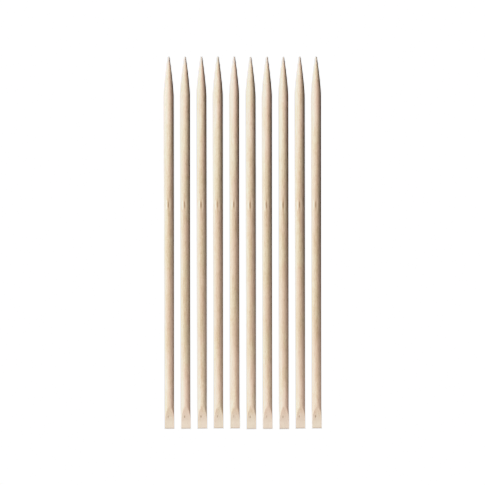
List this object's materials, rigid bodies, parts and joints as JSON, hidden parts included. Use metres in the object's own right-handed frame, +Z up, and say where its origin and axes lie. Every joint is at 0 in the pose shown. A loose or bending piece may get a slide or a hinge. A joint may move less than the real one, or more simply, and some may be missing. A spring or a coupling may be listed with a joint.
{
  "type": "cuticle stick set",
  "caption": "Row of straight round wooden sticks, each with a long blunt point at one end and a thin bevelled blade at the other for pushing back cuticles.",
  "frame": {"origin": "middle of the row, on the surface the sticks lie on", "axes": "+Y along the sticks towards their points, +X across the row, +Z up"},
  "size_m": [0.0754, 0.1783, 0.0049],
  "materials": {
    "birch": "bare pale wood, tumbled smooth, fine straight grain, no varnish"
  },
  "bodies": {
    "stick_01": {"stick_01": "birch"},
    "stick_02": {"stick_02": "birch"},
    "stick_03": {"stick_03": "birch"},
    "stick_04": {"stick_04": "birch"},
    "stick_05": {"stick_05": "birch"},
    "stick_06": {"stick_06": "birch"},
    "stick_07": {"stick_07": "birch"},
    "stick_08": {"stick_08": "birch"},
    "stick_09": {"stick_09": "birch"},
    "stick_10": {"stick_10": "birch"}
  },
  "joints": [
    {"name": "lift_stick_01", "type": "slide", "parent": "stick_05", "child": "stick_01", "axis": [0, 0, 1], "range_m": [0, 0.03]},
    {"name": "lift_stick_02", "type": "slide", "parent": "stick_05", "child": "stick_02", "axis": [0, 0, 1], "range_m": [0, 0.03]},
    {"name": "lift_stick_03", "type": "slide", "parent": "stick_05", "child": "stick_03", "axis": [0, 0, 1], "range_m": [0, 0.03]},
    {"name": "lift_stick_04", "type": "slide", "parent": "stick_05", "child": "stick_04", "axis": [0, 0, 1], "range_m": [0, 0.03]},
    {"name": "lift_stick_06", "type": "slide", "parent": "stick_05", "child": "stick_06", "axis": [0, 0, 1], "range_m": [0, 0.03]},
    {"name": "lift_stick_07", "type": "slide", "parent": "stick_05", "child": "stick_07", "axis": [0, 0, 1], "range_m": [0, 0.03]},
    {"name": "lift_stick_08", "type": "slide", "parent": "stick_05", "child": "stick_08", "axis": [0, 0, 1], "range_m": [0, 0.03]},
    {"name": "lift_stick_09", "type": "slide", "parent": "stick_05", "child": "stick_09", "axis": [0, 0, 1], "range_m": [0, 0.03]},
    {"name": "lift_stick_10", "type": "slide", "parent": "stick_05", "child": "stick_10", "axis": [0, 0, 1], "range_m": [0, 0.03]}
  ]
}
